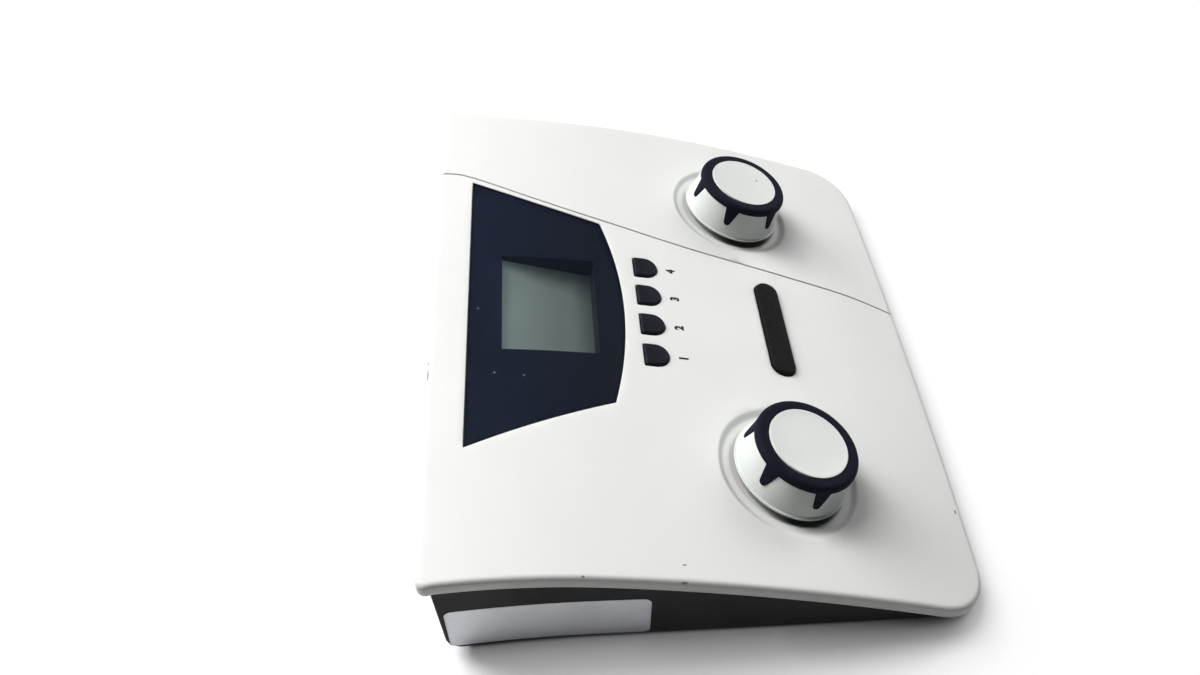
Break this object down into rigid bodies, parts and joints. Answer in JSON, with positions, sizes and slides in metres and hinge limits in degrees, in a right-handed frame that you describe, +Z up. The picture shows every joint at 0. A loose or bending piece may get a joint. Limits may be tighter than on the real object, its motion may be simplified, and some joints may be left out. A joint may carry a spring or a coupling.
{
  "type": "audiometer",
  "caption": "Portable audiometer with a sloping moulded cover, display window, function keys, a tone bar, two fluted knobs and rear sockets.",
  "frame": {"origin": "middle of the footprint, on the plane that the feet stand on", "axes": "+X to the right of a user in front of it, +Y to the rear, +Z up"},
  "size_m": [0.2306, 0.184, 0.0493],
  "materials": {
    "cover": "fine satin moulded ABS",
    "tray": "fine-grained black ABS",
    "window": "clear glossy acrylic",
    "mask": "dark navy print behind the window",
    "lcd": "grey-green display",
    "metal": "plated steel",
    "board": "green solder mask",
    "black": "black moulded plastic",
    "plunger": "ivory acetal",
    "ribbon": "grey ribbon cable",
    "foot": "soft black rubber",
    "knob": "light grey satin plastic",
    "collar": "dark navy soft-touch rubber",
    "key": "dark navy satin plastic",
    "bar": "black satin plastic"
  },
  "bodies": {
    "housing": {"top_cover": "cover", "base_tray": "tray", "display_window": "window", "display_mask": "mask", "lcd_glass": "lcd", "lcd_bezel": "metal", "control_board": "board", "audio_board": "board", "level_encoder": "black", "frequency_encoder": "black", "key_switch_1": "black", "key_switch_2": "black", "key_switch_3": "black", "key_switch_4": "black", "tone_switch_left": "black", "tone_switch_right": "black", "left_phone_jack": "black", "right_phone_jack": "black", "response_jack": "black", "jack_nuts": "metal", "dc_inlet": "black", "power_switch_frame": "black", "ribbon_cable": "ribbon", "ribbon_headers": "black", "audio_chips": "black", "capacitors": "black", "cover_screws": "metal", "control_screws": "metal", "audio_screws": "metal", "front_left_foot": "foot", "front_right_foot": "foot", "rear_left_foot": "foot", "rear_right_foot": "foot"},
    "level_knob": {"level_knob_skirt": "knob", "level_knob_collar": "collar", "level_knob_cap": "knob", "level_shaft": "metal"},
    "frequency_knob": {"frequency_knob_skirt": "knob", "frequency_knob_collar": "collar", "frequency_knob_cap": "knob", "frequency_shaft": "metal"},
    "key_1": {"function_button_1": "key", "key_plunger_1": "plunger"},
    "key_2": {"function_button_2": "key", "key_plunger_2": "plunger"},
    "key_3": {"function_button_3": "key", "key_plunger_3": "plunger"},
    "key_4": {"function_button_4": "key", "key_plunger_4": "plunger"},
    "tone": {"tone_bar": "bar", "tone_plunger_left": "plunger", "tone_plunger_right": "plunger"},
    "rocker": {"power_rocker": "black"}
  },
  "joints": [
    {"name": "level_turn", "type": "hinge", "parent": "housing", "child": "level_knob", "pos_m": [-0.0669, -0.028, 0.02914], "axis": [0, -0.2805, 0.9598], "continuous": true},
    {"name": "frequency_turn", "type": "hinge", "parent": "housing", "child": "frequency_knob", "pos_m": [0.0669, -0.028, 0.02914], "axis": [0, -0.2805, 0.9598], "continuous": true},
    {"name": "key_1_press", "type": "slide", "parent": "housing", "child": "key_1", "axis": [0, 0.2805, -0.9598], "range_m": [0, 0.0006], "stiffness_N_per_m": 1500, "springref_m": -0.0003},
    {"name": "key_2_press", "type": "slide", "parent": "housing", "child": "key_2", "axis": [0, 0.2805, -0.9598], "range_m": [0, 0.0006], "stiffness_N_per_m": 1500, "springref_m": -0.0003},
    {"name": "key_3_press", "type": "slide", "parent": "housing", "child": "key_3", "axis": [0, 0.2805, -0.9598], "range_m": [0, 0.0006], "stiffness_N_per_m": 1500, "springref_m": -0.0003},
    {"name": "key_4_press", "type": "slide", "parent": "housing", "child": "key_4", "axis": [0, 0.2805, -0.9598], "range_m": [0, 0.0006], "stiffness_N_per_m": 1500, "springref_m": -0.0003},
    {"name": "tone_press", "type": "slide", "parent": "housing", "child": "tone", "axis": [0, 0.2805, -0.9598], "range_m": [0, 0.001], "stiffness_N_per_m": 1000, "springref_m": -0.0006},
    {"name": "power_rock", "type": "hinge", "parent": "housing", "child": "rocker", "pos_m": [0.076, 0.0839, 0.0185], "axis": [0, 0, 1], "range_deg": [0, 15]}
  ]
}
